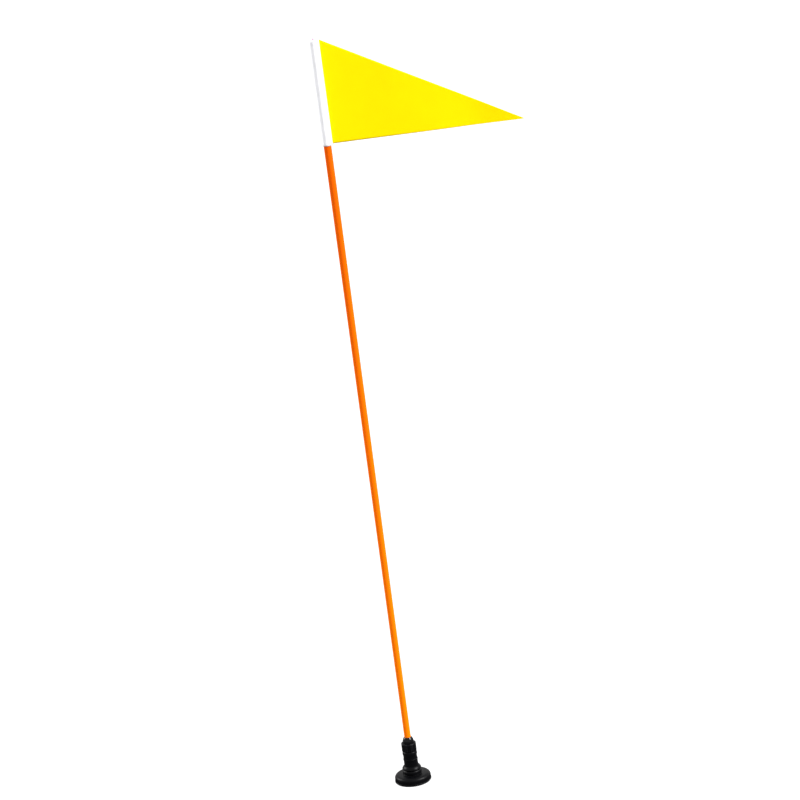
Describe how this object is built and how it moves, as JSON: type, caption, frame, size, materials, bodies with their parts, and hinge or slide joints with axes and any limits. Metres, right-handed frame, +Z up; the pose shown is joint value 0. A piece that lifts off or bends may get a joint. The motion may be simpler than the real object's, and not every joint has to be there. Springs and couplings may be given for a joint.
{
  "type": "golf flagstick",
  "caption": "Portable golf marker flagstick: a triangular sleeved pennant on a straight rod, clamped in a flexible rubber neck on a round foot.",
  "frame": {"origin": "centre of the foot's underside, on the rod's axis", "axes": "+Z up along the rod, +X along the pennant's fly, -Y towards the side with the boot's pointed bib"},
  "size_m": [0.3107, 0.0556, 1.14],
  "materials": {
    "moulded_rubber": "satin",
    "boot_rubber": "satin",
    "pad_rubber": "matte",
    "seal_rubber": "gloss",
    "black_nylon": "satin",
    "cast_zinc": "matte",
    "natural_nylon": "satin",
    "pink_nylon": "gloss",
    "nickel": "gloss",
    "zinc_steel": "satin",
    "spring_steel": "satin",
    "brass": "satin",
    "socket_aluminium": "satin",
    "orange_fibreglass": "gloss",
    "white_tape": "matte",
    "yellow_cloth": "matte"
  },
  "bodies": {
    "foot": {"foot_cover": "moulded_rubber", "foot_pad": "pad_rubber", "magnet_tray": "cast_zinc", "foot_magnets": "nickel", "foot_plate": "zinc_steel", "foot_bolt": "zinc_steel", "swivel_washer": "black_nylon", "bolt_washer": "zinc_steel", "lock_nut": "zinc_steel"},
    "neck": {"neck_ring": "moulded_rubber", "anchor_plug": "brass", "flex_spring": "spring_steel", "neck_boot": "boot_rubber"},
    "head": {"rod_socket": "socket_aluminium", "collet": "natural_nylon", "boot_clip": "black_nylon"},
    "gland": {"thrust_washer": "zinc_steel", "o_ring": "seal_rubber", "rod_seal": "seal_rubber"},
    "nut": {"clamp_nut": "black_nylon"},
    "pole": {"rod": "orange_fibreglass", "rod_ferrule": "socket_aluminium", "tip_pin": "pink_nylon"},
    "flag": {"sleeve": "white_tape", "sleeve_cap": "white_tape", "pennant": "yellow_cloth"}
  },
  "joints": [
    {"name": "neck_turn", "type": "hinge", "parent": "foot", "child": "neck", "pos_m": [0, 0, 0.0202], "axis": [0, 0, 1], "continuous": true},
    {"name": "neck_bend", "type": "hinge", "parent": "neck", "child": "head", "pos_m": [0, 0, 0.0385], "axis": [0, 1, 0], "range_deg": [-35, 35], "stiffness_Nm_per_rad": 8, "deforming": ["flex_spring", "neck_boot"]},
    {"name": "gland_lift", "type": "slide", "parent": "head", "child": "gland", "axis": [0, 0, 1], "range_m": [0, 0.003]},
    {"name": "nut_turn", "type": "hinge", "parent": "gland", "child": "nut", "pos_m": [0, 0, 0.0502], "axis": [0, 0, 1], "range_deg": [0, 722]},
    {"name": "rod_pull", "type": "slide", "parent": "head", "child": "pole", "axis": [0, 0, 1], "range_m": [0, 0.03]},
    {"name": "pennant_swivel", "type": "hinge", "parent": "pole", "child": "flag", "pos_m": [0, 0, 0.9845], "axis": [0, 0, 1], "continuous": true}
  ],
  "couplings": [
    {"joint": "nut_turn", "follows": "gland_lift", "rad_per_m": 4188.8}
  ]
}
